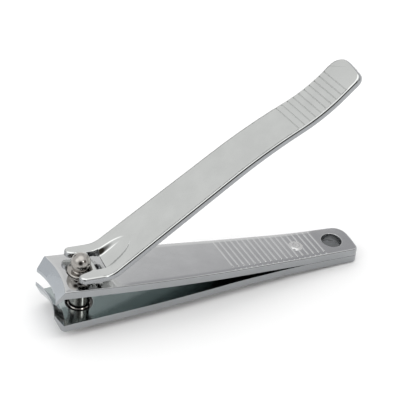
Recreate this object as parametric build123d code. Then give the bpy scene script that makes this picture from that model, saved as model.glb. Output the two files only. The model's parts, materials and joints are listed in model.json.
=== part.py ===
from build123d import *
import os
from math import cos, radians, sin, sqrt, tan

# A large lever nail clipper of chromed spring steel: two jaw plates riveted together at the tail,
# a ball-headed pin through both plates near the jaws, and a forked lever hooked under the ball.
# Working axes: X runs from the pin to the tail, Y across the plates, Z up. Z = 0 is the underside of
# the lower plate and X = 0 the pin. Lengths are millimetres, angles degrees. The finished pieces are
# shifted so that the origin is the bottom centre of the whole clipper's box.

# ---- spring plates
PLATE = 2.02                # thickness of each plate
FRONT_HALF = 6.78           # half width at the jaws
TAIL_HALF = 4.55            # half width where the taper ends
TAPER_START_X = 10.5
TAPER_END_X = 73.3          # the end trim cuts the plates off a little before this
TAIL_END_X = 70.5
TAIL_BOW = 35.0             # radius of the tail's slightly crowned end
TAIL_SKEW = 4.0             # the end stands a little askew, further out on the -Y side
TAIL_CORNERS = (3.4, 1.3)   # corner radii of the tail seen from above, on the +Y and the -Y side
DROOP = 4.91                # slope of the tail against the front of the lower plate
TAIL_FOOT_X = 47.2          # where the line of the tail's underside passes Z = 0
JOIN_X = 55.5               # the plates touch from here to the tail end
LOWER_BEND_X = 38.9         # where the lower plate starts to fall towards the join
UPPER_BEND_X = 35.2         # where the upper plate starts to level out towards the join
OPENING = 8.53              # slope of the upper plate's front against the lower plate
UPPER_Z = 9.21              # underside of the upper plate at the pin
SPRING_RADIUS = 130.0       # radius of the plates' gentle bends
SPLIT_X = 48.9              # where the upper plate flexes: its front half swings from here
UPPER_ROUNDING = 0.25       # polished rounding of the upper plate's long edges

# ---- jaws: concave cutting edges, given by their middle and side points
EDGE_HALF = 6.05            # half width of the cutting edge
LAND = 0.9                  # height of the ground land under each edge
EDGE_WIDTH = 0.12           # flat left on the cutting edge itself
LOWER_EDGE_Z = 5.30
LOWER_EDGE_MID_X = -7.20
LOWER_EDGE_SIDE_X = -8.50
LOWER_HEEL_MID_X = -5.30    # outer bend line at the underside
LOWER_HEEL_SIDE_X = -6.30
LOWER_INNER_MID_X = -4.75   # inner bend line on the upper side of the lower plate
LOWER_INNER_SIDE_X = -5.95
UPPER_EDGE_Z = 8.40
UPPER_EDGE_MID_X = -7.00
UPPER_EDGE_SIDE_X = -8.25
UPPER_BEND_Z = 12.10
UPPER_BEND_MID_X = -5.05
UPPER_BEND_SIDE_X = -6.05
UPPER_INNER_MID_X = -5.00
UPPER_INNER_SIDE_X = -6.25

# ---- holes
PIN_HOLE_R = 3.25
PIN_SLOT = 0.45             # the upper hole is this much longer towards the tail
LANYARD_X = 65.0
LANYARD_R = 2.5

# ---- grip ribs on the upper plate
RIBS = 18
FIRST_RIB_X = 36.5
RIB_PITCH = 1.46
RIB_WIDTH = 0.45
RIB_HEIGHT = 0.12
RIB_MARGIN = 1.35           # plain border beside the ribs
RIB_SKEW = 6.0

# ---- pin
BALL_Z = 14.03
BALL_R = 2.34
NECK_R = 1.75
COLLAR_R = 3.12
COLLAR_TOP_Z = 12.03
COLLAR_BOTTOM_Z = 9.50
SHAFT_R = 2.48
FOOT_R = 2.63               # slightly thicker length inside the lower plate
FLANGE_R = 4.4
FLANGE = 1.5
BAR_X = 2.20                # centre of the lever's crossbar, which lies in a groove behind the neck
BAR_Z = 12.98
BAR_R = 0.80
GROOVE_R = 0.90

# ---- lever, given by its top surface from the fork to the thumb end
LEVER = 1.5                 # sheet thickness
FORK_BEND = (5.32, 13.56)
FORK_LENGTH = 7.40
FORK_ANGLE = -4.96
ARM_LENGTH = 44.2
ARM_ANGLE = 35.8
WRIST_LENGTH = 16.06
WRIST_ANGLE = 27.6
THUMB_LENGTH = 11.97
THUMB_ANGLE = 45.7
LEVER_BEND_RADII = (4.84, 125.6, 35.2)
FORK_HALF = 6.2
THUMB_HALF = 5.15
THUMB_CORNERS = (3.9, 2.0)  # on the +Y and the -Y side
SLOT_HALF = 3.45            # fork opening around the ball
WINDOW_HALF = 3.15          # window between the crossbar and the trough
WINDOW_REAR_X = 5.45
TROUGH_R = 4.6
TROUGH_DEPTH = 1.2          # at the window, measured square to the arm
TROUGH_TILT = 8.75
HEEL_X = 6.7                # underside of the trough that bears on the upper plate
HEEL_R = 1.2
HEEL_CLEARANCE = 0.30
GROOVES = 10
GROOVE_PITCH = 1.53
FIRST_GROOVE = 9.05         # distance of the first groove along the wrist
GROOVE_WIDTH = 0.22
GROOVE_DEPTH = 0.14
GROOVE_MARGIN = 0.45
GROOVE_SKEW = 9.0           # the grooves run a little askew, like the ribs

# ---- tail rivet
RIVET_X = 55.3
RIVET_SHANK_R = 1.0
RIVET_HEAD_R = 1.6
RIVET_HEAD = 0.28

FAR = 200.0                 # reach of cutting tools
MARGIN = 20.0               # how far trimming blocks stand clear of the pieces


def along(point, angle, distance):
    return (point[0] + distance * cos(radians(angle)), point[1] + distance * sin(radians(angle)))


def offset_point(before, point, after, distance):
    """The corner of a path's parallel, on the left of its direction of travel."""
    d1 = (Vector(*point) - Vector(*before)).normalized()
    d2 = (Vector(*after) - Vector(*point)).normalized()
    n1 = Vector(-d1.Y, d1.X)
    n2 = Vector(-d2.Y, d2.X)
    step = (n1 + n2) * (distance / (1 + n1.dot(n2)))
    return (point[0] + step.X, point[1] + step.Y)


def parallel(points, distance):
    first = Vector(*points[1]) - Vector(*points[0])
    last = Vector(*points[-1]) - Vector(*points[-2])
    ahead = Vector(*points[0]) - first
    beyond = Vector(*points[-1]) + last
    padded = [(ahead.X, ahead.Y)] + list(points) + [(beyond.X, beyond.Y)]
    return [offset_point(a, b, c, distance) for a, b, c in zip(padded, padded[1:], padded[2:])]


def bent_strip(points, radii, thickness, half_width):
    """Sheet that follows a path in the XZ plane; a negative thickness lies under the path."""
    turns = []
    for a, b, c in zip(points, points[1:], points[2:]):
        cross = (b[0] - a[0]) * (c[1] - b[1]) - (b[1] - a[1]) * (c[0] - b[0])
        turns.append(1 if cross > 0 else -1)
    near = FilletPolyline(*points, radius=list(radii))
    far = FilletPolyline(
        *parallel(points, thickness),
        radius=[radius - turn * thickness for radius, turn in zip(radii, turns)],
    )
    closing = [Line(near @ 0, far @ 0), Line(near @ 1, far @ 1)]
    face = make_face(near.edges() + far.edges() + closing)
    return across(face, half_width)


def across(profile, half_width):
    """Extrude a profile drawn in the XZ plane to both sides of Y = 0, as one run."""
    return extrude(Plane.XZ.offset(-half_width) * profile, amount=2 * half_width)


def upright(outline, half_height):
    """Extrude an outline seen from above to both sides of Z = 0, as one run."""
    return extrude(Location((0, 0, -half_height)) * outline, amount=2 * half_height)


def block(x_low, x_high, y_half, z_low, z_high):
    centre = Location(((x_low + x_high) / 2, 0, (z_low + z_high) / 2))
    return centre * Box(x_high - x_low, 2 * y_half, z_high - z_low)


def plate_half_width(x):
    t = min(max((x - TAPER_START_X) / (TAPER_END_X - TAPER_START_X), 0), 1)
    return FRONT_HALF + (TAIL_HALF - FRONT_HALF) * t * t * (3 - 2 * t)


def plate_outline():
    """Both plates seen from above: straight jaws, then a long S-shaped taper to the tail."""
    third = (TAPER_END_X - TAPER_START_X) / 3
    sides = []
    for side in (1, -1):
        jaw = (LOWER_EDGE_SIDE_X, side * EDGE_HALF)
        bend = (UPPER_BEND_SIDE_X, side * FRONT_HALF)
        start = (TAPER_START_X, side * FRONT_HALF)
        sides.append(Polyline(jaw, bend, start))
        sides.append(
            Bezier(
                start,
                (TAPER_START_X + third, side * FRONT_HALF),
                (TAPER_START_X + 2 * third, side * TAIL_HALF),
                (TAPER_END_X, side * TAIL_HALF),
            )
        )
    front = Line((LOWER_EDGE_SIDE_X, EDGE_HALF), (LOWER_EDGE_SIDE_X, -EDGE_HALF))
    rear = Line((TAPER_END_X, TAIL_HALF), (TAPER_END_X, -TAIL_HALF))
    edges = [edge for side in sides for edge in side.edges()]
    return make_face(edges + front.edges() + rear.edges())


def tail_end_x(y):
    """Where the crowned tail end lies at a distance from the middle, before its corners are rounded."""
    skew = radians(TAIL_SKEW)
    return TAIL_END_X - TAIL_BOW * cos(skew) + sqrt(TAIL_BOW ** 2 - (y + TAIL_BOW * sin(skew)) ** 2)


def tail_trim():
    """Everything in front of the tail end, with its corners rounded."""
    half = plate_half_width(TAIL_END_X)
    far, near = (tail_end_x(half), half), (tail_end_x(-half), -half)
    end = ThreePointArc(near, (TAIL_END_X, 0), far)
    front = Polyline(far, (-MARGIN, 2 * half), (-MARGIN, -2 * half), near)
    face = make_face(end.edges() + front.edges())
    for side, radius in zip((1, -1), TAIL_CORNERS):
        corner = [v for v in face.vertices() if abs(v.Y - side * half) < 0.01]
        face = fillet(corner, radius)
    return upright(face, MARGIN)


def plate_prism():
    return upright(plate_outline(), MARGIN) & tail_trim()


def tail_point(x, height):
    """A point of the tail at a height above the lower plate's underside, square to the tail."""
    slope = radians(DROOP)
    run = x - TAIL_FOOT_X
    return (x + height * sin(slope), -run * tan(slope) + height * cos(slope))


def lower_path():
    """Underside of the lower plate: flat, then falling to the join, then the tail."""
    return [(-MARGIN / 2, 0), (LOWER_BEND_X, 0), tail_point(JOIN_X, 0), tail_point(TAPER_END_X, 0)]


def upper_path():
    """Underside of the upper plate: sloping front, then levelling out to the join, then the tail."""
    front = [(x, UPPER_Z - x * tan(radians(OPENING))) for x in (-MARGIN / 2, UPPER_BEND_X)]
    return front + [tail_point(JOIN_X, PLATE), tail_point(TAPER_END_X, PLATE)]


def jaw_arc(mid_x, side_x, half, z):
    """Concave line across a jaw at one height."""
    return ThreePointArc((side_x, -half, z), (mid_x, 0, z), (side_x, half, z))


def jaw_section(mid_x, side_x, half, z, reach):
    """Area between a concave line and a straight line at reach."""
    arc = jaw_arc(mid_x, side_x, half, z)
    rest = Polyline((side_x, half, z), (reach, half, z), (reach, -half, z), (side_x, -half, z))
    return make_face(arc.edges() + rest.edges())


def ruled_cutter(lower, upper, z_from, z_to, reach):
    """Loft through two concave lines (mid x, side x, z), extended to the heights z_from and z_to."""
    sections = []
    half = FRONT_HALF + 1
    for z in (z_from, z_to):
        t = (z - lower[2]) / (upper[2] - lower[2])
        mid = lower[0] + t * (upper[0] - lower[0])
        side = lower[1] + t * (upper[1] - lower[1])
        side += (side - mid) * ((half / EDGE_HALF) ** 2 - 1)
        sections.append(jaw_section(mid, side, half, z, reach))
    return loft(sections, ruled=True)


def lower_plate_body():
    plate = bent_strip(lower_path(), [SPRING_RADIUS] * 2, PLATE, FRONT_HALF + 1)
    jaw = block(-MARGIN / 2, LOWER_INNER_MID_X + 1, FRONT_HALF + 1, 0, LOWER_EDGE_Z)
    land_z = LOWER_EDGE_Z - LAND
    edge = (LOWER_EDGE_MID_X, LOWER_EDGE_SIDE_X)
    slope_cut = ruled_cutter(
        (LOWER_HEEL_MID_X, LOWER_HEEL_SIDE_X, 0), (*edge, land_z), -1, land_z, -MARGIN
    )
    land_cut = ruled_cutter((*edge, land_z), (*edge, LOWER_EDGE_Z), land_z, MARGIN, -MARGIN)
    inner_cut = ruled_cutter(
        (LOWER_INNER_MID_X, LOWER_INNER_SIDE_X, PLATE),
        (edge[0] + EDGE_WIDTH, edge[1] + EDGE_WIDTH, LOWER_EDGE_Z),
        PLATE, LOWER_EDGE_Z + 1, MARGIN,
    )
    return (plate + jaw) - slope_cut - land_cut - inner_cut


def upper_plate_body(extra=0.0):
    """The upper plate in one piece, with its top surface raised by extra."""
    return bent_strip(upper_path(), [SPRING_RADIUS] * 2, PLATE + extra, FRONT_HALF + 1)


def upper_jaw_block():
    """The part of the upper jaw that hangs under the plate."""
    slope = tan(radians(OPENING))
    under = [(x, UPPER_Z - slope * x + PLATE / 2) for x in (-MARGIN / 2, UPPER_INNER_MID_X + 1)]
    profile = Polyline(
        (under[0][0], UPPER_EDGE_Z), under[0], under[1], (under[1][0], UPPER_EDGE_Z), close=True
    )
    return across(make_face(profile.edges()), FRONT_HALF + 1)


def underside_half_space():
    """Everything below the underside of the upper plate's open front."""
    slope = tan(radians(OPENING))
    outline = Polyline(
        (-MARGIN, UPPER_Z + slope * MARGIN), (MARGIN, UPPER_Z - slope * MARGIN),
        (MARGIN, 0), (-MARGIN, 0), close=True,
    )
    return across(make_face(outline.edges()), MARGIN)


def upper_front_body():
    land_z = UPPER_EDGE_Z + LAND
    edge = (UPPER_EDGE_MID_X, UPPER_EDGE_SIDE_X)
    bend = (UPPER_BEND_MID_X, UPPER_BEND_SIDE_X, UPPER_BEND_Z)
    inner_z = UPPER_Z - UPPER_INNER_SIDE_X * tan(radians(OPENING))
    slope_cut = ruled_cutter((*edge, land_z), bend, land_z, MARGIN, -MARGIN)
    land_cut = ruled_cutter((*edge, UPPER_EDGE_Z), (*edge, land_z), 0, land_z, -MARGIN)
    inner_cut = ruled_cutter(
        (edge[0] + EDGE_WIDTH, edge[1] + EDGE_WIDTH, UPPER_EDGE_Z),
        (UPPER_INNER_MID_X, UPPER_INNER_SIDE_X, inner_z),
        UPPER_EDGE_Z - 1, inner_z + 1, 0,
    )
    body = upper_plate_body() + upper_jaw_block() - (inner_cut & underside_half_space())
    return body - slope_cut - land_cut


def ribs():
    envelope = upper_plate_body(RIB_HEIGHT)
    bars = []
    for index in range(RIBS):
        x = FIRST_RIB_X + index * RIB_PITCH
        half = plate_half_width(x) - RIB_MARGIN
        bars.append(Location((x, 0, 0), (0, 0, RIB_SKEW)) * Box(RIB_WIDTH, 2 * half, 2 * MARGIN))
    return [envelope & bar for bar in bars]


def tail_axis_tool(radius, x):
    """Cylinder square to the tail, through both plates."""
    foot = tail_point(x, PLATE)
    return Location((foot[0], 0, foot[1]), (0, DROOP, 0)) * Cylinder(radius, MARGIN)


def rivet_seat(side):
    """Clears the outside of a plate down to a flat seat, square to the tail, under a rivet head."""
    foot = tail_point(RIVET_X, PLATE)
    space = Location((0, 0, side * (PLATE + MARGIN / 2))) * Cylinder(RIVET_HEAD_R + 0.15, MARGIN)
    return Location((foot[0], 0, foot[1]), (0, DROOP, 0)) * space


def round_long_edges(plate, radius):
    """Round the long outer edges, which run mostly along X near the plate's outline."""
    chosen = []
    for edge in plate.edges():
        middle = edge @ 0.5
        span = edge.bounding_box().size
        if span.X > 8 and abs(abs(middle.Y) - plate_half_width(middle.X)) < 0.05:
            chosen.append(edge)
    return fillet(chosen, radius) if chosen else plate


def lower_jaw_plate():
    plate = lower_plate_body() & plate_prism()
    plate = plate - Cylinder(PIN_HOLE_R, MARGIN) - rivet_seat(-1)
    return plate - tail_axis_tool(LANYARD_R, LANYARD_X) - tail_axis_tool(RIVET_SHANK_R, RIVET_X)


def upper_plate_whole():
    plate = upper_front_body() & plate_prism()
    plate = round_long_edges(plate, UPPER_ROUNDING)
    hole = Cylinder(PIN_HOLE_R, FAR) + Location((PIN_SLOT, 0, 0)) * Cylinder(PIN_HOLE_R, FAR)
    hole += block(0, PIN_SLOT, PIN_HOLE_R, -MARGIN, MARGIN)
    plate = plate + ribs() - hole - rivet_seat(1)
    return plate - tail_axis_tool(LANYARD_R, LANYARD_X) - tail_axis_tool(RIVET_SHANK_R, RIVET_X)


def pivot_pin():
    half_profile = Polyline(
        (0, -FLANGE), (FLANGE_R, -FLANGE), (FLANGE_R, 0), (FOOT_R, 0), (FOOT_R, PLATE),
        (SHAFT_R, PLATE), (SHAFT_R, COLLAR_BOTTOM_Z), (COLLAR_R, COLLAR_BOTTOM_Z),
        (COLLAR_R, COLLAR_TOP_Z), (NECK_R, COLLAR_TOP_Z), (NECK_R, BALL_Z), (0, BALL_Z),
        close=True,
    )
    turned = revolve(Plane.XZ * make_face(half_profile.edges()), Axis.Z)
    rims = [edge for edge in turned.edges().filter_by(GeomType.CIRCLE)
            if abs(edge.radius - FLANGE_R) < 0.01 or
            (abs(edge.radius - COLLAR_R) < 0.01 and abs((edge @ 0).Z - COLLAR_TOP_Z) < 0.01)]
    turned = fillet(rims, 0.3)
    turned += Location((0, 0, BALL_Z)) * Sphere(BALL_R)
    groove = Location((BAR_X, 0, BAR_Z), (90, 0, 0)) * Cylinder(GROOVE_R, MARGIN)
    return turned - groove


def lever_path():
    front = along(FORK_BEND, FORK_ANGLE, -FORK_LENGTH)
    wrist = along(FORK_BEND, ARM_ANGLE, ARM_LENGTH)
    thumb = along(wrist, WRIST_ANGLE, WRIST_LENGTH)
    return [front, FORK_BEND, wrist, thumb, along(thumb, THUMB_ANGLE, THUMB_LENGTH)]


def lever_half_width(x):
    """Constant at the fork and at the thumb rest, with a straight taper between them."""
    share = (x - FORK_BEND[0]) / (lever_path()[3][0] - FORK_BEND[0])
    return FORK_HALF + (THUMB_HALF - FORK_HALF) * min(max(share, 0), 1)


def lever_outline():
    """The lever seen from above: two prongs, an open slot between them and a tapering arm."""
    front_x = lever_path()[0][0]
    thumb_x = lever_path()[3][0]
    rear_x = lever_path()[-1][0] + LEVER
    side = [(front_x, FORK_HALF), (FORK_BEND[0], FORK_HALF), (thumb_x, THUMB_HALF), (rear_x, THUMB_HALF)]
    other = [(x, -y) for x, y in reversed(side)]
    face = make_face(Polyline(*side, *other, close=True).edges())
    mouth = Location((front_x, 0)) * Rectangle(-2 * front_x, 2 * SLOT_HALF)
    face = face - mouth - Circle(SLOT_HALF)
    tips = [v for v in face.vertices() if abs(v.X - front_x) < 0.01]
    return fillet(tips, (FORK_HALF - SLOT_HALF) / 2 - 0.05)


def thumb_trim():
    """Everything in front of the lever's rounded end, cut square to the thumb rest."""
    start, end = lever_path()[-2:]
    wide = 2 * FORK_HALF
    side = [(-FAR, wide), (0, wide), (0, THUMB_HALF), (THUMB_LENGTH, THUMB_HALF)]
    other = [(x, -y) for x, y in reversed(side)]
    face = make_face(Polyline(*side, *other, close=True).edges())
    for sign, radius in zip((1, -1), THUMB_CORNERS):
        tip = [v for v in face.vertices()
               if abs(v.X - THUMB_LENGTH) < 0.01 and abs(v.Y - sign * THUMB_HALF) < 0.01]
        face = fillet(tip, radius)
    face = Location((0, 0, -MARGIN)) * face
    local = Plane(
        origin=(start[0], 0, start[1]),
        x_dir=(end[0] - start[0], 0, end[1] - start[1]),
        z_dir=(start[1] - end[1], 0, end[0] - start[0]),
    )
    return extrude(local * face, amount=2 * MARGIN)


def trough_tool(radius):
    """Tilted cylinder whose lowest line is the trough's floor, kept behind the window."""
    angle = ARM_ANGLE + TROUGH_TILT
    arm_z = FORK_BEND[1] + (WINDOW_REAR_X - FORK_BEND[0]) * tan(radians(ARM_ANGLE))
    floor_z = arm_z - TROUGH_DEPTH / cos(radians(ARM_ANGLE))
    axis_x = WINDOW_REAR_X - TROUGH_R * sin(radians(angle))
    axis_z = floor_z + TROUGH_R * cos(radians(angle))
    cylinder = Location((axis_x, 0, axis_z), (0, 90 - angle, 0)) * Cylinder(radius, FAR / 4)
    return cylinder & block(WINDOW_REAR_X, MARGIN, MARGIN, -MARGIN, 2 * MARGIN)


def heel_keep():
    """Space above the upper plate that the trough's underside may fill, with a rounded nose."""
    slope = tan(radians(OPENING))
    top = UPPER_Z + PLATE / cos(radians(OPENING)) + HEEL_CLEARANCE
    nose = (WINDOW_REAR_X, top - slope * HEEL_X)
    rear = (MARGIN, nose[1])
    profile = Polyline(nose, rear, (MARGIN, 2 * MARGIN), (WINDOW_REAR_X, 2 * MARGIN), close=True)
    face = make_face(profile.edges())
    corner = [v for v in face.vertices() if abs(v.X - nose[0]) < 0.01 and abs(v.Y - nose[1]) < 0.01]
    face = fillet(corner, HEEL_R)
    return across(face, MARGIN)


def upper_side_of_arm():
    """Space under the top surface of the arm, where the bulge of the trough belongs."""
    low = along(FORK_BEND, ARM_ANGLE, -MARGIN)
    high = along(FORK_BEND, ARM_ANGLE, MARGIN)
    outline = Polyline(low, high, (high[0], -MARGIN), (low[0], -MARGIN), close=True)
    return across(make_face(outline.edges()), MARGIN)


def groove_tools():
    """Fine grooves across the wrist and thumb rest, following the bent surface."""
    path = lever_path()
    skin = bent_strip(path, LEVER_BEND_RADII, -GROOVE_DEPTH, FORK_HALF)
    tools = []
    for index in range(GROOVES):
        distance = FIRST_GROOVE + index * GROOVE_PITCH
        corner, angle = path[2], WRIST_ANGLE
        if distance > WRIST_LENGTH:
            corner, angle = path[3], THUMB_ANGLE
            distance -= WRIST_LENGTH
        x, z = along(corner, angle, distance)
        half = lever_half_width(x) - GROOVE_MARGIN
        place = Location((x, 0, z), (0, -angle, 0)) * Location((0, 0, 0), (0, 0, GROOVE_SKEW))
        tools.append(skin & (place * Box(GROOVE_WIDTH, 2 * half, 4 * LEVER)))
    return tools


def lever():
    sheet = bent_strip(lever_path(), LEVER_BEND_RADII, -LEVER, FORK_HALF + 1)
    sheet &= upright(lever_outline(), FAR)
    sheet &= thumb_trim()
    bulge = trough_tool(TROUGH_R + LEVER) & heel_keep() & upper_side_of_arm()
    sheet = sheet + bulge - trough_tool(TROUGH_R)
    window = block(BAR_X - 1.2, WINDOW_REAR_X, WINDOW_HALF, -FAR, FAR)
    sheet -= window
    bar = Location((BAR_X, 0, BAR_Z), (90, 0, 0)) * Cylinder(BAR_R, 2 * WINDOW_HALF + 0.8)
    sheet += bar
    for tool in groove_tools():
        sheet -= tool
    return sheet


def tail_rivet():
    """Flush rivet square to the tail, with a low domed head on both sides."""
    foot = tail_point(RIVET_X, PLATE)
    dome_r = (RIVET_HEAD_R ** 2 + RIVET_HEAD ** 2) / (2 * RIVET_HEAD)
    shank = Cylinder(RIVET_SHANK_R, 2 * PLATE)
    head = Location((0, 0, PLATE + RIVET_HEAD - dome_r)) * Sphere(dome_r)
    head &= Location((0, 0, PLATE + RIVET_HEAD / 2)) * Box(MARGIN, MARGIN, RIVET_HEAD)
    foot_head = mirror(head, Plane.XY)
    rivet = shank + head + foot_head
    return Location((foot[0], 0, foot[1]), (0, DROOP, 0)) * rivet


def pieces():
    whole = upper_plate_whole()
    return {
        "lower_jaw_plate": lower_jaw_plate(),
        "upper_jaw_plate": whole & block(-MARGIN, SPLIT_X, MARGIN, -MARGIN, MARGIN),
        "upper_tail_plate": whole & block(SPLIT_X, FAR, MARGIN, -MARGIN, MARGIN),
        "pivot_pin": pivot_pin(),
        "lever": lever(),
        "tail_rivet": tail_rivet(),
    }


def main():
    os.makedirs("parts", exist_ok=True)
    made = pieces()
    box = Compound(children=[Compound(piece.solids()) for piece in made.values()]).bounding_box()
    shift = Location((-(box.min.X + box.max.X) / 2, 0, -box.min.Z))
    print("origin shift", shift.position)
    for name, piece in made.items():
        placed = shift * piece
        print(name, len(placed.solids()), round(placed.volume, 1))
        export_step(placed, f"parts/{name}.step")


main()
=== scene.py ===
import json
from math import acos, atan2, cos, hypot, pi, radians, sin, sqrt, tan

import bmesh
import bpy
from mathutils import Matrix, Vector


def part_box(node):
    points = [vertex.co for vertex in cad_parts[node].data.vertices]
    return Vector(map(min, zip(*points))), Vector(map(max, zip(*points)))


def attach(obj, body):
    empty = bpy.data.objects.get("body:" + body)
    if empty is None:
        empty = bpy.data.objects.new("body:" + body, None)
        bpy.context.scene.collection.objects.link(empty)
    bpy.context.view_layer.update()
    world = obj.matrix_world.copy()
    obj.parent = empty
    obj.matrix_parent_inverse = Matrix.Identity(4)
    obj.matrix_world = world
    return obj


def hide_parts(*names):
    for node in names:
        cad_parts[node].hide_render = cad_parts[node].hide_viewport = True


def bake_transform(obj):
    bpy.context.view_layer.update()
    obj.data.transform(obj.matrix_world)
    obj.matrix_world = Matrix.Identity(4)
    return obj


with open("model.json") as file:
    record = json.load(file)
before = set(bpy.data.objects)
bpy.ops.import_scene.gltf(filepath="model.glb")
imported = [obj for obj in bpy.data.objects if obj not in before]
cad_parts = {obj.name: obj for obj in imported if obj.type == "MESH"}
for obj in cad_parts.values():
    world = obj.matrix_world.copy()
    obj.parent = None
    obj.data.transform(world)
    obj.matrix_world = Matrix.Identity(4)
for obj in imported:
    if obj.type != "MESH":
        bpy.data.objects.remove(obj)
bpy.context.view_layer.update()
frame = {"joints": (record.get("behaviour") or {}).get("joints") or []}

# The clipper is drawn in millimetres about the pin: X = 0 is the pin's axis, Z = 0 the underside of the
# lower plate, +X runs to the tail. point() carries that into the row frame.
MM = 0.001

# ---- spring plates
PLATE = 2.02
FRONT_HALF = 6.78
TAIL_HALF = 4.55
TAPER_START_X = 10.5
TAPER_END_X = 73.3
TAIL_END_X = 70.5
TAIL_BOW = 35.0
TAIL_SKEW = radians(4.0)
TAIL_CORNERS = (3.4, 1.3)   # on the +Y and the -Y side
DROOP = radians(4.91)
TAIL_FOOT_X = 47.2
JOIN_X = 55.5
LOWER_BEND_X = 38.9
UPPER_BEND_X = 35.2
OPENING = radians(8.53)
UPPER_Z = 9.21
SPRING_RADIUS = 130.0
FRONT_EDGE_X = -8.50        # the outline narrows from the bend to here
BEND_SIDE_X = -6.05

# ---- jaws: (middle x, side x) of each concave line
EDGE_HALF = 6.05
LAND = 0.9
EDGE_WIDTH = 0.12
LOWER_EDGE = (-7.20, -8.50)
LOWER_EDGE_Z = 5.30
LOWER_HEEL = (-5.30, -6.30)
HEEL_RISE = 0.8             # the lower heel is rounded off over this height
HEEL_RUN = 0.7              # and this length
LOWER_INNER = (-4.75, -5.95)
UPPER_EDGE = (-7.00, -8.25)
UPPER_EDGE_Z = 8.40
UPPER_BEND = (-5.05, -6.05)
UPPER_BEND_Z = 12.10
UPPER_INNER = (-5.00, -6.25)

# ---- holes and ribs
PIN_HOLE_R = 3.25
PIN_SLOT = 0.45
LANYARD_X = 65.0
LANYARD_R = 2.5
RIBS = 18
FIRST_RIB_X = 36.5
RIB_PITCH = 1.46
RIB_WIDTH = 0.45
RIB_HEIGHT = 0.12
RIB_MARGIN = 1.35
RIB_RUNOUT = 0.08           # the ribs end within this length
RIB_SKEW = radians(6.0)

# ---- pin
FLANGE = 1.5
FLANGE_R = 4.4
FOOT_R = 2.63
SHAFT_R = 2.48
COLLAR_R = 3.12
COLLAR_BOTTOM_Z = 9.50
COLLAR_TOP_Z = 12.03
NECK_R = 1.75
BALL_Z = 14.03
BALL_R = 2.34
BAR_X = 2.20
BAR_Z = 12.98
BAR_R = 0.80
GROOVE_R = 0.90             # cross groove that clears the bar
RIM = 0.3

# ---- lever
LEVER = 1.5
FORK_BEND = (5.32, 13.56)
FORK_RUN = (7.40, radians(-4.96))
ARM_RUN = (44.2, radians(35.8))
WRIST_RUN = (16.06, radians(27.6))
THUMB_RUN = (11.97, radians(45.7))
LEVER_BEND_RADII = (4.84, 125.6, 35.2)
FORK_HALF = 6.2
THUMB_HALF = 5.15
THUMB_CORNERS = (3.9, 2.0)
THUMB_BOW = 45.0
THUMB_SKEW = radians(3.0)
SLOT_HALF = 3.45
WINDOW_HALF = 3.15
WINDOW_REAR_X = 5.45
TROUGH_DROP = 1.35          # straight down at the window
TROUGH_RUN = 6.35           # from the window to the tip, seen from above
TROUGH_END_X = 12.6         # the last of its close-set rows
TROUGH_WALL = tan(radians(52.0))
TROUGH_SPREAD = 0.75        # how much wider it is on the underside
TROUGH_SOFT = (0.14, 0.3)   # softness of its rim above and below
TROUGH_LEAD = 1.2           # it deepens over this length ahead of the window's rear edge
TROUGH_END = 1.1            # where it is gone, as a share of its run
HEEL_Z = 10.55
HEEL_R = 1.2
GROOVES = 10
GROOVE_PITCH = 1.53
FIRST_GROOVE = 9.05
GROOVE_WIDTH = 0.26
GROOVE_DEPTH = 0.12
GROOVE_MARGIN = 0.45
GROOVE_SKEW = radians(9.0)

# ---- rivet
RIVET_X = 55.3
RIVET_R = 1.75
RIVET_HEIGHT = 0.34
RIVET_SUNK = 0.05           # the head starts this far inside the plate

# ---- full rounding of the sheets' edges
PLATE_BEVEL = 0.32
LEVER_BEVEL = 0.65

# ---- rows of the meshes
UPPER_HOLE_ROW_X = -4.5     # last row ahead of the pin hole
LOWER_HOLE_ROW_X = -4.0
HOLE_REAR_ROW_X = 8.0
TAIL_ROW_X = 62.2           # last row ahead of the lanyard hole
FORK_ROW_X = 3.4            # the lever's first row behind the prongs
ARM_ROWS_X = (14.0, 18.0, 23.0, 28.0)
WRIST_ROW_X = 31.0

PIN_AXIS_X = frame["joints"][0]["pos_m"][0]
ORIGIN = Vector((PIN_AXIS_X, 0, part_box("pivot_pin")[0].z + FLANGE * MM))


def point(x, y, z):
    return ORIGIN + Vector((x, y, z)) * MM


def steps(start, end, count):
    return [start + (end - start) * i / count for i in range(count + 1)]


def smooth(value):
    t = min(max(value, 0.0), 1.0)
    return t * t * (3 - 2 * t)


def solve(rising, target, high):
    """Where between 0 and high a rising function passes the target."""
    low = 0.0
    for _ in range(40):
        middle = (low + high) / 2
        if rising(middle) < target:
            low = middle
        else:
            high = middle
    return (low + high) / 2


# ---- outlines and paths


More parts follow.
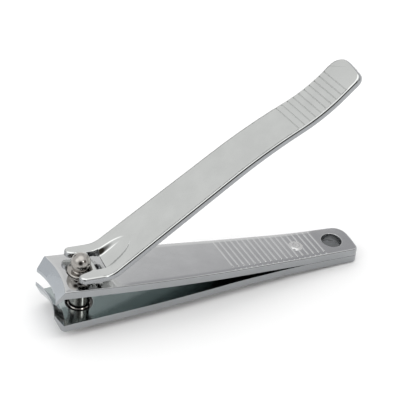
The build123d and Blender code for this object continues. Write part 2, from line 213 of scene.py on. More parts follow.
class Path:
    """A line in the XZ plane: straight runs joined by arcs, read by the distance along it."""

    def __init__(self, corners, radii):
        self.corners = corners
        self.runs = []
        x, z = corners[0]
        headings = [atan2(b[1] - a[1], b[0] - a[0]) for a, b in zip(corners, corners[1:])]
        lengths = [hypot(b[0] - a[0], b[1] - a[1]) for a, b in zip(corners, corners[1:])]
        turns = [b - a for a, b in zip(headings, headings[1:])] + [0.0]
        cuts = [r * tan(abs(t) / 2) for r, t in zip(radii, turns)] + [0.0]
        travelled = 0.0
        used = 0.0
        for heading, length, turn, cut, radius in zip(headings, lengths, turns, cuts, [*radii, 1.0]):
            self.runs.append((travelled, x, z, heading, 0.0))
            straight = length - used - cut
            x += straight * cos(heading)
            z += straight * sin(heading)
            travelled += straight
            used = cut
            if turn:
                bend = turn / abs(turn) / radius
                self.runs.append((travelled, x, z, heading, bend))
                x += (sin(heading + turn) - sin(heading)) / bend
                z -= (cos(heading + turn) - cos(heading)) / bend
                travelled += radius * abs(turn)
        self.length = travelled

    def at(self, s):
        """Place and heading at a distance along the path."""
        start, x, z, heading, bend = [run for run in self.runs if run[0] <= max(s, 0.0)][-1]
        run = s - start
        if not bend:
            return x + run * cos(heading), z + run * sin(heading), heading
        end = heading + run * bend
        return x + (sin(end) - sin(heading)) / bend, z - (cos(end) - cos(heading)) / bend, end

    def reach(self, x):
        """Distance along the path at which it passes x."""
        return solve(lambda s: self.at(s)[0], x, self.length)

    def offset(self, s, height):
        """The point at a height over the path, square to it."""
        x, z, heading = self.at(s)
        return x - height * sin(heading), z + height * cos(heading)

    def level_at(self, x, height):
        """z of the path's parallel at x."""
        s = solve(lambda place: self.offset(place, height)[0], x, self.length)
        return self.offset(s, height)[1]


def tail_point(x, height):
    """A point square over the tail's underside line at x."""
    run = x - TAIL_FOOT_X
    return x + height * sin(DROOP), -run * tan(DROOP) + height * cos(DROOP)


def plate_path(front, height):
    """Underside of a plate: its front corners, the join and the tail."""
    tail = [tail_point(JOIN_X, height), tail_point(TAPER_END_X, height)]
    return Path(front + tail, [SPRING_RADIUS] * 2)


def lower_path():
    return plate_path([(-10.0, 0.0), (LOWER_BEND_X, 0.0)], 0.0)


def upper_path():
    return plate_path([(x, UPPER_Z - x * tan(OPENING)) for x in (-10.0, UPPER_BEND_X)], PLATE)


def lever_path():
    """Top surface of the lever from the fork to the thumb end."""
    length, angle = FORK_RUN
    corners = [(FORK_BEND[0] - length * cos(angle), FORK_BEND[1] - length * sin(angle)), FORK_BEND]
    for length, angle in (ARM_RUN, WRIST_RUN, THUMB_RUN):
        x, z = corners[-1]
        corners.append((x + length * cos(angle), z + length * sin(angle)))
    return Path(corners, LEVER_BEND_RADII)


def plate_half(x):
    """Half width of both plates seen from above."""
    if x < BEND_SIDE_X:
        return EDGE_HALF + (FRONT_HALF - EDGE_HALF) * (x - FRONT_EDGE_X) / (BEND_SIDE_X - FRONT_EDGE_X)
    return FRONT_HALF + (TAIL_HALF - FRONT_HALF) * smooth((x - TAPER_START_X) / (TAPER_END_X - TAPER_START_X))


def hollow(line, y):
    """x of a concave jaw line at a distance from the middle."""
    mid, side = line
    reach = FRONT_HALF + 1
    sag = (mid - side) * (reach / EDGE_HALF) ** 2
    radius = (reach ** 2 + sag ** 2) / (2 * sag)
    return mid - radius + sqrt(radius ** 2 - y ** 2)


def arc(centre, radius, start, end, count):
    """Points of an arc between two angles."""
    return [(centre[0] + radius * cos(a), centre[1] + radius * sin(a)) for a in steps(start, end, count)]


def rounded_end(x_end, half, corners, bow, skew=0.0):
    """Outline of a crowned end with round corners, from the +Y side round to the -Y side."""
    centre = (x_end - bow * cos(skew), -bow * sin(skew))
    turns = []
    for side, corner in zip((1, -1), corners):
        y = side * (half - corner)
        x = centre[0] + sqrt((bow - corner) ** 2 - (y - centre[1]) ** 2)
        swing = atan2(y - centre[1], x - centre[0])
        turns.append((arc((x, y), corner, side * pi / 2, swing, 8), swing))
    (first, start), (last, end) = turns
    return first + arc(centre, bow, start, end, 8)[1:-1] + last[::-1]


# ---- mesh building


# Material slots of a sheet piece. The inner faces, between the plates, and the walls get colours darker than
# the polished chrome: painted shade; the walls' higher roughness is their own cut finish.
POLISHED, SHEARED_SHADE, INSIDE_SHADE, GROUND = range(4)


class Sheet:
    """Closed sheet-metal body: faces on its upper side, the same faces on its under side, walls between.

    finishes gives the material slots of the upper and the under side."""

    def __init__(self, finish_and_shade_slots):
        self.finish_and_shade_slots = finish_and_shade_slots
        self.mesh = bmesh.new()
        self.weight = self.mesh.edges.layers.float.new("bevel_weight_edge")
        self.uses = {}          # directed face edges, in the order they were made

    def pair(self, upper, under):
        return self.mesh.verts.new(upper), self.mesh.verts.new(under)

    def face(self, pairs, finish_and_shade_slots=None):
        """A face on both sides, given counterclockwise as seen from above."""
        upper_face = self.mesh.faces.new([upper for upper, _ in pairs])
        under_face = self.mesh.faces.new([under for _, under in reversed(pairs)])
        upper_face.material_index, under_face.material_index = finish_and_shade_slots or self.finish_and_shade_slots
        for a, b in zip(pairs, pairs[1:] + pairs[:1]):
            self.uses[(a, b)] = True

    def grid(self, rows, present=None, finish_and_shade_slots=None):
        for i, (row, following) in enumerate(zip(rows, rows[1:])):
            for j in range(len(row) - 1):
                if present is None or present(i, j):
                    self.face([row[j], following[j], following[j + 1], row[j + 1]], finish_and_shade_slots)

    def walls(self, rounding):
        """Closes the body; rounding gives each rim edge's share of the bevel width."""
        for a, b in self.uses:
            if (b, a) in self.uses:
                continue
            wall = self.mesh.faces.new([b[0], a[0], a[1], b[1]])
            # the walls' slot has a darkened colour: painted shade on the rim faces
            wall.material_index = SHEARED_SHADE
            for edge in wall.edges:
                if set(edge.verts) in ({a[0], b[0]}, {a[1], b[1]}):
                    middle = (edge.verts[0].co + edge.verts[1].co) / 2
                    edge[self.weight] = rounding(middle, edge.verts[0] in (a[0], b[0]))

    def soften(self, row, side, share):
        """Round the fold along a row of vertices; side 0 is the upper one."""
        for a, b in zip(row, row[1:]):
            edge = self.mesh.edges.get((a[side], b[side]))
            edge[self.weight] = share


def finished(name, mesh, bevel=0.0, segments=3, angle=35):
    """An object with its bevel applied, smooth shading between its sharp edges and even normals."""
    data = bpy.data.meshes.new(name)
    mesh.normal_update()
    mesh.to_mesh(data)
    mesh.free()
    draft = bpy.data.objects.new(name, data)
    bpy.context.scene.collection.objects.link(draft)
    if bevel:
        modifier = draft.modifiers.new("rounding", "BEVEL")
        modifier.limit_method = "WEIGHT"
        modifier.width = bevel * MM
        modifier.segments = segments
        modifier.use_clamp_overlap = False
        settle(draft)
    draft.data.shade_smooth()
    draft.data.set_sharp_from_angle(angle=radians(angle))
    even = draft.modifiers.new("even normals", "WEIGHTED_NORMAL")
    even.keep_sharp = True
    return draft


def settle(obj):
    """Replace an object's mesh by what its modifiers make of it."""
    graph = bpy.context.evaluated_depsgraph_get()
    made = bpy.data.meshes.new_from_object(obj.evaluated_get(graph))
    obj.modifiers.clear()
    obj.data = made


def rod(radius, reach):
    """Profile of a plain cylinder from -reach to reach."""
    return [(0, -reach), (radius, -reach), (radius, reach), (0, reach)]


def turned(profile, segments=96):
    """Body of revolution about Z from (radius, height) points, both ends on the axis."""
    mesh = bmesh.new()
    rings = []
    for radius, z in profile:
        if radius < 1e-6:
            rings.append([mesh.verts.new((0, 0, z * MM))])
            continue
        angles = [2 * pi * k / segments for k in range(segments)]
        rings.append([mesh.verts.new((radius * cos(a) * MM, radius * sin(a) * MM, z * MM)) for a in angles])
    for low, high in zip(rings, rings[1:]):
        for k in range(segments):
            corners = [low[k % len(low)], low[(k + 1) % len(low)]]
            corners += [high[(k + 1) % len(high)], high[k % len(high)]]
            unique = list(dict.fromkeys(corners))
            mesh.faces.new(unique)
    return mesh


# ---- plates

PLATE_COLUMNS = steps(-1.0, 1.0, 16)
HOLE_STEPS = 24


def meeting(low, low_z, high, high_z, base, slope):
    """The line where a ruled surface through two concave lines meets the plane z = base + slope * x."""

    def line(y):
        x1, x2 = hollow(low, y), hollow(high, y)
        t = (base + slope * x1 - low_z) / (high_z - low_z - slope * (x2 - x1))
        return x1 + t * (x2 - x1), low_z + t * (high_z - low_z)

    return line


def jaw_row(sheet, upper, under):
    """One row across a jaw; upper and under give (x, z) at a distance from the middle."""
    row = []
    for share in PLATE_COLUMNS:
        corners = []
        for line in (upper, under):
            y = share * plate_half(line(EDGE_HALF)[0])
            x, z = line(y)
            corners.append(point(x, y, z))
        row.append(sheet.pair(*corners))
    return row


def cross_row(sheet, path, x, rib=0.0, skew=0.0):
    """A row across a plate; the columns between the rib ends stand up by rib."""
    reach = plate_half(x) - RIB_MARGIN
    inner = steps(-reach, reach, len(PLATE_COLUMNS) - 5)
    near, far = [side * plate_half(x - side * plate_half(x) * tan(skew)) for side in (-1, 1)]
    row = []
    for y in [near, -reach - RIB_RUNOUT, *inner, reach + RIB_RUNOUT, far]:
        place = x - y * tan(skew)
        raised = rib if abs(y) <= reach + 0.001 else 0.0
        upper = point(place, y, path.level_at(place, PLATE + raised))
        row.append(sheet.pair(upper, point(place, y, path.level_at(place, 0))))
    return row


def holed(sheet, front, rear, hole):
    """Two C-shaped faces round a hole, from the row in front of it to the row or outline behind it.

    Rows run from -Y to +Y, and the hole from its foremost point round by -Y and back by +Y."""
    half = len(hole) // 2
    lower, upper = hole[: half + 1], [hole[0], *reversed(hole[half:])]
    a, b = len(front) // 2, len(rear) // 2
    sheet.face(front[:1] + rear[: b + 1] + lower[::-1] + front[a:0:-1])
    sheet.face(front[a:a + 1] + upper + rear[b:] + front[:a:-1])


def pin_hole(sheet, path, slot):
    """Upright hole through a plate, slot longer towards the tail."""
    hole = []
    for a in steps(pi, 3 * pi, 2 * HOLE_STEPS)[:-1]:
        x = PIN_HOLE_R * cos(a) + slot * (1 + cos(a)) / 2
        y = PIN_HOLE_R * sin(a)
        hole.append(sheet.pair(point(x, y, path.level_at(x, PLATE)), point(x, y, path.level_at(x, 0))))
    return hole


def tail_place(x, run, height):
    """A point of the tail: run along it from the foot of x, height over the joint of the plates."""
    foot_x, foot_z = tail_point(x, PLATE)
    return (
        foot_x + run * cos(DROOP) + height * sin(DROOP),
        foot_z - run * sin(DROOP) + height * cos(DROOP),
    )


def tail_end(sheet, path, last_row, base):
    """Round end of a plate with its lanyard hole; base is the plate's underside over the joint."""
    hole = []
    for a in steps(pi, 3 * pi, 2 * HOLE_STEPS)[:-1]:
        y = LANYARD_R * sin(a)
        upper = tail_place(LANYARD_X, LANYARD_R * cos(a), base + PLATE)
        under = tail_place(LANYARD_X, LANYARD_R * cos(a), base)
        hole.append(sheet.pair(point(upper[0], y, upper[1]), point(under[0], y, under[1])))
    outline = []
    end = rounded_end(TAIL_END_X, plate_half(TAIL_END_X), TAIL_CORNERS, TAIL_BOW, TAIL_SKEW)
    for x, y in reversed(end):
        outline.append(sheet.pair(point(x, y, path.level_at(x, PLATE)), point(x, y, path.level_at(x, 0))))
    holed(sheet, last_row, outline, hole)


def plate_rounding(top_share, under_share):
    """Share of the bevel width on the long edges; less on holes, none on the cutting edges."""

    def rounding(place, upper):
        x, y, _ = (place - ORIGIN) / MM
        if x < UPPER_EDGE[0] - 0.2 and abs(y) < EDGE_HALF:
            return 0.0
        if x < BEND_SIDE_X - 0.2:
            return 0.12
        if abs(y) < plate_half(x) - 0.5 and x < LANYARD_X + LANYARD_R + 0.5:
            return 0.5
        return top_share if upper else under_share

    return rounding


PLAIN_ROWS = [10.5, 14.0, 18.0, 22.0, 26.0, 30.0, 33.5]
# A rib's and a groove's section: (share of its width, share of its height).
RIB_SECTION = ((-0.5, 0.0), (-0.32, 0.8), (0.0, 1.0), (0.32, 0.8), (0.5, 0.0))
GROOVE_SECTION = ((-0.5, 0.0), (-0.25, 0.85), (0.0, 1.0), (0.25, 0.85), (0.5, 0.0))


def upper_plate():
    """Upper jaw plate in one piece: jaw, flexing length, grip ribs and lanyard end."""
    # the under side takes the inner-face slot: a darker copy of the chrome, painted shade between the plates
    sheet = Sheet((POLISHED, INSIDE_SHADE))
    path = upper_path()
    slope = -tan(OPENING)
    top = UPPER_Z + PLATE / cos(OPENING)
    land_z = UPPER_EDGE_Z + LAND
    heel_z = UPPER_Z - UPPER_INNER[1] * tan(OPENING)
    inner_edge = (UPPER_EDGE[0] + EDGE_WIDTH, UPPER_EDGE[1] + EDGE_WIDTH)
    inside = (inner_edge, UPPER_EDGE_Z, UPPER_INNER, heel_z)
    outside = (UPPER_EDGE, land_z, UPPER_BEND, UPPER_BEND_Z)
    rows = [
        jaw_row(sheet, meeting(UPPER_EDGE, 0, UPPER_EDGE, land_z, UPPER_EDGE_Z, 0),
                meeting(*inside, UPPER_EDGE_Z, 0)),
        jaw_row(sheet, meeting(*outside, land_z, 0), meeting(*inside, land_z, 0)),
        jaw_row(sheet, meeting(*outside, top, slope), meeting(*inside, UPPER_Z, slope)),
        cross_row(sheet, path, UPPER_HOLE_ROW_X),
    ]
    sheet.grid(rows[:3], finish_and_shade_slots=(GROUND, GROUND))
    sheet.grid(rows[2:])
    sheet.soften(rows[2], 0, 0.7)
    sheet.soften(rows[2], 1, 0.5)
    rear = [cross_row(sheet, path, HOLE_REAR_ROW_X)]
    holed(sheet, rows[-1], rear[0], pin_hole(sheet, path, PIN_SLOT))
    rear += [cross_row(sheet, path, x) for x in PLAIN_ROWS]
    for index in range(RIBS):
        middle = FIRST_RIB_X + index * RIB_PITCH
        for share, height in RIB_SECTION:
            rear.append(cross_row(sheet, path, middle + share * RIB_WIDTH, height * RIB_HEIGHT, RIB_SKEW))
    rear.append(cross_row(sheet, path, TAIL_ROW_X))
    sheet.grid(rear)
    tail_end(sheet, path, rear[-1], 0.0)
    sheet.walls(plate_rounding(1.0, 0.3))
    return finished("upper_plate", sheet.mesh, bevel=PLATE_BEVEL)


def lower_plate():
    """Lower jaw plate: jaw turned up at the front, gentle bend down into the tail."""
    # the upper side takes the inner-face slot: a darker copy of the chrome, painted shade between the plates
    sheet = Sheet((INSIDE_SHADE, POLISHED))
    path = lower_path()
    land_z = LOWER_EDGE_Z - LAND
    inner_edge = (LOWER_EDGE[0] + EDGE_WIDTH, LOWER_EDGE[1] + EDGE_WIDTH)
    inside = (LOWER_INNER, PLATE, inner_edge, LOWER_EDGE_Z)
    outside = (LOWER_HEEL, 0, LOWER_EDGE, land_z)
    rows = [
        jaw_row(sheet, meeting(*inside, LOWER_EDGE_Z, 0),
                meeting(LOWER_EDGE, land_z, LOWER_EDGE, LOWER_EDGE_Z, LOWER_EDGE_Z, 0)),
        jaw_row(sheet, meeting(*inside, land_z, 0), meeting(*outside, land_z, 0)),
        jaw_row(sheet, meeting(*inside, PLATE + HEEL_RISE, 0), meeting(*outside, HEEL_RISE, 0)),
        jaw_row(sheet, meeting(*inside, PLATE, 0), lambda y: (hollow(LOWER_HEEL, y) + HEEL_RUN, 0.0)),
        cross_row(sheet, path, LOWER_HOLE_ROW_X),
    ]
    sheet.grid(rows[:4], finish_and_shade_slots=(GROUND, GROUND))
    sheet.grid(rows[3:])
    sheet.soften(rows[3], 0, 0.5)
    sheet.soften(rows[2], 1, 1.0)
    sheet.soften(rows[3], 1, 1.0)
    rear = [cross_row(sheet, path, HOLE_REAR_ROW_X)]
    holed(sheet, rows[-1], rear[0], pin_hole(sheet, path, 0.0))
    rear += [cross_row(sheet, path, x) for x in PLAIN_ROWS + steps(36.0, TAIL_ROW_X, 13)]
    sheet.grid(rear)
    tail_end(sheet, path, rear[-1], -PLATE)
    sheet.walls(plate_rounding(0.2, 0.6))
    return finished("lower_plate", sheet.mesh, bevel=PLATE_BEVEL)


# ---- lever


def lever_half(x, thumb_x):
    share = (x - FORK_BEND[0]) / (thumb_x - FORK_BEND[0])
    return FORK_HALF + (THUMB_HALF - FORK_HALF) * min(max(share, 0), 1)


def trough_depth(x, y, spread, soft):
    """Depth of the pressed trough, straight down; spread widens it and soft rounds its rim."""
    along = min(max((x - WINDOW_REAR_X) / TROUGH_RUN, 0.0), TROUGH_END)
    full = TROUGH_DROP * max(1 - along ** 2.4, 0.0) * smooth((x - WINDOW_REAR_X) / TROUGH_LEAD + 1)
    half = WINDOW_HALF * sqrt(max(1 - along ** 2.2, 0.02)) + spread
    wall = (half - abs(y)) * TROUGH_WALL
    raw = (full + wall - sqrt((full - wall) ** 2 + 0.02)) / 2
    return (raw + sqrt(raw ** 2 + soft ** 2)) / 2 * smooth((TROUGH_END - along) / (TROUGH_END - 1))


def heel_level(x):
    """Lowest the underside may reach: a flat heel with a rounded nose."""
    nose = WINDOW_REAR_X + HEEL_R
    if x >= nose:
        return HEEL_Z
    run = min(nose - x, HEEL_R)
    return HEEL_Z + HEEL_R - sqrt(HEEL_R ** 2 - run ** 2)


class LeverRows:
    """Rows and columns of the lever's sheet behind the fork."""

    def __init__(self, sheet):
        self.sheet = sheet
        self.path = lever_path()
        corners = self.path.corners
        self.thumb_x = corners[3][0]
        self.wrist_s = self.path.reach(corners[2][0])
        self.thumb_s = self.wrist_s + WRIST_RUN[0]
        fine = steps(-WINDOW_HALF, WINDOW_HALF, 30)
        side = steps(WINDOW_HALF, 4.0, 4)[1:]
        self.inner = [-y for y in reversed(side)] + fine + side
        self.prong_columns = len(side) + 4

    def columns(self, x):
        half = lever_half(x, self.thumb_x)
        edge = [half - GROOVE_MARGIN - 0.12, half - GROOVE_MARGIN, half]
        return [-y for y in reversed(edge)] + self.inner + edge

    def row(self, s, sunk=0.0, skew=0.0):
        """A row at a distance along the path; its middle columns may be sunk by a groove."""
        x = self.path.at(s)[0]
        half = lever_half(x, self.thumb_x)
        made = []
        for y in self.columns(x):
            depth = sunk if abs(y) < half - GROOVE_MARGIN - 0.1 else 0.0
            place = s - y * tan(skew)
            upper_x, upper_z = self.path.offset(place, -depth)
            under_x, under_z = self.path.offset(place, -LEVER)
            upper_z -= trough_depth(upper_x, y, 0.0, TROUGH_SOFT[0])
            under_z -= trough_depth(under_x, y, TROUGH_SPREAD, TROUGH_SOFT[1])
            under_z = max(under_z, heel_level(under_x))
            made.append(self.sheet.pair(point(upper_x, y, upper_z), point(under_x, y, under_z)))
        return made

    def flat(self, s, y):
        upper, under = self.path.offset(s, 0), self.path.offset(s, -LEVER)
        return self.sheet.pair(point(upper[0], y, upper[1]), point(under[0], y, under[1]))


def prong(rows, first_row, side):
    """One fork prong in front of the first row: round tip, straight mouth and the arc round the ball."""
    angle = FORK_RUN[1]
    front_x = rows.path.at(0)[0]
    tip_r = (FORK_HALF - SLOT_HALF) / 2
    outline = arc((tip_r, SLOT_HALF + tip_r), tip_r, pi / 2, 3 * pi / 2, 16)
    slot = arc((0, 0), SLOT_HALF, pi / 2, atan2(WINDOW_HALF, sqrt(SLOT_HALF ** 2 - WINDOW_HALF ** 2)), 12)
    outline += [((x - front_x) / cos(angle), y) for x, y in slot]
    pairs = [rows.flat(s, side * y) for s, y in outline]
    if side > 0:
        rows.sheet.face(pairs + first_row[-rows.prong_columns:])
    else:
        rows.sheet.face(first_row[:rows.prong_columns] + pairs[::-1])


def lever():
    """Pressed lever: fork, window, trough, long arm and grooved thumb rest."""
    sheet = Sheet((POLISHED, POLISHED))
    rows = LeverRows(sheet)
    reach = rows.path.reach
    stations = steps(reach(FORK_ROW_X), reach(WINDOW_REAR_X), 12)
    lip = len(stations) - 1
    stations += steps(reach(WINDOW_REAR_X), reach(TROUGH_END_X), 44)[1:]
    stations += [reach(x) for x in ARM_ROWS_X]
    first = rows.wrist_s + FIRST_GROOVE
    stations += steps(reach(WRIST_ROW_X), first - 1.4, 12)
    grid = [rows.row(s) for s in stations]
    for index in range(GROOVES):
        middle = first + index * GROOVE_PITCH
        grid += [
            rows.row(middle + share * GROOVE_WIDTH, depth * GROOVE_DEPTH, GROOVE_SKEW)
            for share, depth in GROOVE_SECTION
        ]
    end_s = rows.thumb_s + THUMB_RUN[0]
    grid.append(rows.row(end_s - max(THUMB_CORNERS) - 0.22))
    columns = [abs(y) for y in rows.columns(0)]
    sheet.grid(grid, lambda i, j: i >= lip or max(columns[j], columns[j + 1]) > WINDOW_HALF + 0.01)
    for side in (1, -1):
        prong(rows, grid[0], side)
    outline = reversed(rounded_end(end_s, THUMB_HALF, THUMB_CORNERS, THUMB_BOW, THUMB_SKEW))
    sheet.face(grid[-1][:1] + [rows.flat(s, y) for s, y in outline] + grid[-1][:0:-1])
    sheet.walls(lever_rounding)
    return finished("lever_arm", sheet.mesh, bevel=LEVER_BEVEL, segments=4)


def lever_rounding(place, upper):
    """Share of the bevel width: full on the outer edges, little round the ball and the window."""
    x, y, _ = (place - ORIGIN) / MM
    if x < WINDOW_REAR_X + 0.3 and abs(y) < SLOT_HALF + 0.02:
        return 0.3 if x < 3.3 else 0.15
    return 1.0 if upper else 0.4


def crossbar():
    """Round bar between the prongs that hooks under the ball."""
    reach = WINDOW_HALF + 1.1
    obj = finished("lever_crossbar", turned(rod(BAR_R, reach), 48))
    obj.matrix_world = Matrix.Translation(point(BAR_X, 0, BAR_Z)) @ Matrix.Rotation(pi / 2, 4, "X")
    return obj


# ---- pin and rivet


def pivot_pin():
    """Turned pin: flange under the plates, shaft, collar in the upper plate, neck and ball head."""
    ball_foot = acos(NECK_R / BALL_R)
    profile = [(0, -FLANGE)]
    profile += arc((FLANGE_R - RIM, RIM - FLANGE), RIM, -pi / 2, 0, 5)
    profile += arc((FLANGE_R - RIM, -RIM), RIM, 0, pi / 2, 5)
    profile += [(FOOT_R, 0), (FOOT_R, PLATE - 0.15), (SHAFT_R, PLATE), (SHAFT_R, COLLAR_BOTTOM_Z - 0.1)]
    profile += arc((COLLAR_R - 0.15, COLLAR_BOTTOM_Z + 0.15), 0.15, -pi / 2, 0, 3)
    profile += arc((COLLAR_R - RIM, COLLAR_TOP_Z - RIM), RIM, 0, pi / 2, 5)
    profile += [(NECK_R + 0.12, COLLAR_TOP_Z), (NECK_R, COLLAR_TOP_Z + 0.12)]
    profile += [(r, z) for r, z in arc((0, BALL_Z), BALL_R, -ball_foot, pi / 2, 28)]
    profile[-1] = (0, BALL_Z + BALL_R)
    obj = finished("pin", turned(profile))
    cut_cross_groove(obj)
    obj.location = ORIGIN
    return obj


def cut_cross_groove(obj):
    """Take the groove for the lever's bar out of a pin that still stands at the world origin."""
    cutter = finished("groove", turned(rod(GROOVE_R, BALL_R), 48))
    middle = Vector((BAR_X, 0, BAR_Z)) * MM
    cutter.matrix_world = Matrix.Translation(middle) @ Matrix.Rotation(pi / 2, 4, "X")
    cut = obj.modifiers.new("groove", "BOOLEAN")
    cut.operation = "DIFFERENCE"
    cut.object = cutter
    settle(obj)
    bpy.data.objects.remove(cutter)


def rivet_head(name, side):
    """Peened rivet head on one side of the tail: a raised ring round a shallow dimple."""
    profile = [(0, -RIVET_SUNK), (RIVET_R, -RIVET_SUNK), (RIVET_R, 0.05)]
    profile += [(RIVET_R - 0.15, 0.13), (RIVET_R - 0.4, 0.24), (RIVET_R - 0.7, 0.32)]
    profile += [(RIVET_R - 0.95, RIVET_HEIGHT), (RIVET_R - 1.15, 0.31), (RIVET_R - 1.4, 0.26), (0, 0.24)]
    obj = finished(name, turned(profile, 64))
    foot = tail_place(RIVET_X, 0, side * PLATE)
    tilt = Matrix.Rotation(DROOP, 4, "Y")
    if side < 0:
        tilt = tilt @ Matrix.Rotation(pi, 4, "X")
    obj.matrix_world = Matrix.Translation(point(foot[0], 0, foot[1])) @ tilt
    return obj


# ---- materials


def metal(name, colour, roughness):
    """Plated metal: soft cloudiness, fine polishing lines and a slightly uneven surface."""
    material = bpy.data.materials.new(name)
    material.use_nodes = True
    nodes, links = material.node_tree.nodes, material.node_tree.links
    shader = nodes["Principled BSDF"]
    shader.inputs["Metallic"].default_value = 1.0
    place = nodes.new("ShaderNodeTexCoord")

    cloud = nodes.new("ShaderNodeTexNoise")
    cloud.inputs["Scale"].default_value = 180.0
    cloud.inputs["Detail"].default_value = 3.0
    links.new(place.outputs["Object"], cloud.inputs["Vector"])
    tint = nodes.new("ShaderNodeValToRGB")
    tint.color_ramp.elements[0].position = 0.35
    tint.color_ramp.elements[0].color = (*[c * 0.96 for c in colour], 1)
    tint.color_ramp.elements[1].position = 0.65
    tint.color_ramp.elements[1].color = (*[c * 1.02 for c in colour], 1)
    links.new(cloud.outputs["Fac"], tint.inputs["Fac"])
    links.new(tint.outputs["Color"], shader.inputs["Base Color"])

    stretch = nodes.new("ShaderNodeMapping")
    stretch.inputs["Scale"].default_value = (0.08, 1.0, 1.0)
    links.new(place.outputs["Object"], stretch.inputs["Vector"])
    lines = nodes.new("ShaderNodeTexNoise")
    lines.inputs["Scale"].default_value = 9000.0
    lines.inputs["Detail"].default_value = 2.0
    links.new(stretch.outputs["Vector"], lines.inputs["Vector"])
    gloss = nodes.new("ShaderNodeMapRange")
    gloss.inputs["To Min"].default_value = roughness * 0.7
    gloss.inputs["To Max"].default_value = roughness * 1.3
    links.new(lines.outputs["Fac"], gloss.inputs["Value"])
    links.new(gloss.outputs["Result"], shader.inputs["Roughness"])

    waves = nodes.new("ShaderNodeTexNoise")
    waves.inputs["Scale"].default_value = 320.0
    links.new(place.outputs["Object"], waves.inputs["Vector"])
    bump = nodes.new("ShaderNodeBump")
    bump.inputs["Strength"].default_value = 1.0
    bump.inputs["Distance"].default_value = 0.004 * MM
    links.new(waves.outputs["Fac"], bump.inputs["Height"])
    links.new(bump.outputs["Normal"], shader.inputs["Normal"])
    return material


# ---- studio

CAMERA_PLACE = (-139.03, -329.34, 328.93)
CAMERA_ANGLES = (-27.007, 39.445, 5.369)    # azimuth, elevation and roll
CAMERA_LENS = 188.17

SKY = (1.0, 1.0, 1.0)
# Soft patches in the sky: direction, angles in degrees from full strength to none, colour.
SKY_PATCHES = [
    ((0.5327, 0.6021, 0.5948), 2, 8, (0.5, 0.5, 0.52)),
    ((0, 0, 1), 10, 40, (1.9, 1.9, 1.9)),
    ((-0.7, 0.0, 0.72), 10, 26, (1.9, 1.9, 1.9)),
    ((-0.3, -0.75, 0.4), 11, 34, (0.04, 0.036, 0.03)),
    ((0.55, -0.6, 0.5), 5, 20, (0.14, 0.12, 0.10)),
    ((-0.25, 0.95, 0.16), 5, 13, (0.12, 0.12, 0.14)),
    ((0.207, -0.685, 0.699), 3, 5, (7.0, 7.0, 7.0)),
]
FLOOR_REACH = 4.0           # metres


def new_camera():
    """Long lens in front of the jaws, to the left and above, rolled a little."""
    azimuth, elevation, roll = [radians(angle) for angle in CAMERA_ANGLES]
    forward = Vector((-sin(azimuth) * cos(elevation), cos(azimuth) * cos(elevation), -sin(elevation)))
    right = Vector((cos(azimuth), sin(azimuth), 0))
    up = right.cross(forward)
    across = cos(roll) * right + sin(roll) * up
    upward = cos(roll) * up - sin(roll) * right
    data = bpy.data.cameras.new("camera")
    data.lens = CAMERA_LENS
    data.sensor_width = 36
    camera = bpy.data.objects.new("camera", data)
    bpy.context.scene.collection.objects.link(camera)
    turn = Matrix((across, upward, -forward)).transposed()
    camera.matrix_world = Matrix.Translation(point(*CAMERA_PLACE)) @ turn.to_4x4()
    bpy.context.scene.camera = camera


def sky():
    """A soft even sky with bright and dark patches for the metal to reflect."""
    world = bpy.data.worlds.new("studio")
    bpy.context.scene.world = world
    world.use_nodes = True
    nodes, links = world.node_tree.nodes, world.node_tree.links
    place = nodes.new("ShaderNodeTexCoord")
    colour = None
    for direction, inner, outer, shade in SKY_PATCHES:
        toward = nodes.new("ShaderNodeVectorMath")
        toward.operation = "DOT_PRODUCT"
        toward.inputs[1].default_value = Vector(direction).normalized()
        links.new(place.outputs["Generated"], toward.inputs[0])
        share = nodes.new("ShaderNodeMapRange")
        share.interpolation_type = "SMOOTHSTEP"
        share.inputs["From Min"].default_value = cos(radians(outer))
        share.inputs["From Max"].default_value = cos(radians(inner))
        links.new(toward.outputs["Value"], share.inputs["Value"])
        mix = nodes.new("ShaderNodeMix")
        mix.data_type = "RGBA"
        links.new(share.outputs["Result"], mix.inputs["Factor"])
        mix.inputs["A"].default_value = (*SKY, 1)
        if colour:
            links.new(colour, mix.inputs["A"])
        mix.inputs["B"].default_value = (*shade, 1)
        colour = mix.outputs["Result"]
    links.new(colour, nodes["Background"].inputs["Color"])


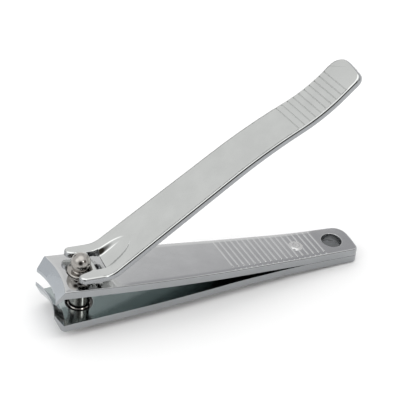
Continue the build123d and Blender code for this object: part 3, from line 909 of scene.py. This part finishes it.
def pale_floor():
    mesh = bpy.data.meshes.new("floor")
    corners = [(x * FLOOR_REACH, y * FLOOR_REACH, 0) for x, y in ((-1, -1), (1, -1), (1, 1), (-1, 1))]
    mesh.from_pydata(corners, [], [(0, 1, 2, 3)])
    floor = bpy.data.objects.new("floor", mesh)
    bpy.context.scene.collection.objects.link(floor)
    material = bpy.data.materials.new("floor")
    material.use_nodes = True
    shader = material.node_tree.nodes["Principled BSDF"]
    shader.inputs["Base Color"].default_value = (0.95, 0.95, 0.95, 1)
    shader.inputs["Roughness"].default_value = 0.9
    shader.inputs["Specular IOR Level"].default_value = 0.0
    mesh.materials.append(material)


# ---- assembly


def dress(obj, slot, *materials):
    for material in materials:
        obj.data.materials.append(material)


def mount(obj, body, *nodes):
    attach(obj, body)
    if nodes:
        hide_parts(*nodes)


def main():
    bpy.context.scene.view_settings.view_transform = "Standard"
    new_camera()
    sky()
    pale_floor()
    chrome = metal("plate chrome", (0.55, 0.555, 0.555), 0.07)
    bright = metal("lever chrome", (0.555, 0.565, 0.555), 0.06)
    # painted shade: the walls' base colour is darkened for the darker band the sides show; their higher
    # roughness is the cut edges' own
    sheared_shade = metal("sheared edge, painted shade", (0.34, 0.35, 0.36), 0.16)
    # painted shade: the plates' inner faces get a darker, bluer copy of the chrome for the shade in the gap
    # between the plates
    inside = metal("inner face, painted shade", (0.38, 0.42, 0.42), 0.12)
    ground = metal("ground jaw", (0.38, 0.405, 0.43), 0.12)
    nickel = metal("pin nickel", (0.35, 0.335, 0.315), 0.13)
    steel = metal("rivet steel", (0.5, 0.5, 0.5), 0.2)

    lower, upper = lower_plate(), upper_plate()
    dress(lower, "plate_chrome", chrome, sheared_shade, inside, ground)
    mount(lower, "base", "lower_jaw_plate")
    dress(upper, "plate_chrome", chrome, sheared_shade, inside, ground)
    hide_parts("upper_jaw_plate", "upper_tail_plate")
    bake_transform(upper)
    arm, bar, pin = lever(), crossbar(), pivot_pin()
    dress(arm, "lever_chrome", bright, sheared_shade)
    mount(arm, "lever", "lever")
    dress(bar, "lever_chrome", bright)
    mount(bar, "lever")
    dress(pin, "pin_chrome", nickel)
    mount(pin, "pin", "pivot_pin")
    for name, side, nodes in (("rivet_upper_head", 1, ["tail_rivet"]), ("rivet_lower_head", -1, [])):
        head = rivet_head(name, side)
        dress(head, "rivet_steel", steel)
        mount(head, "base", *nodes)


main()
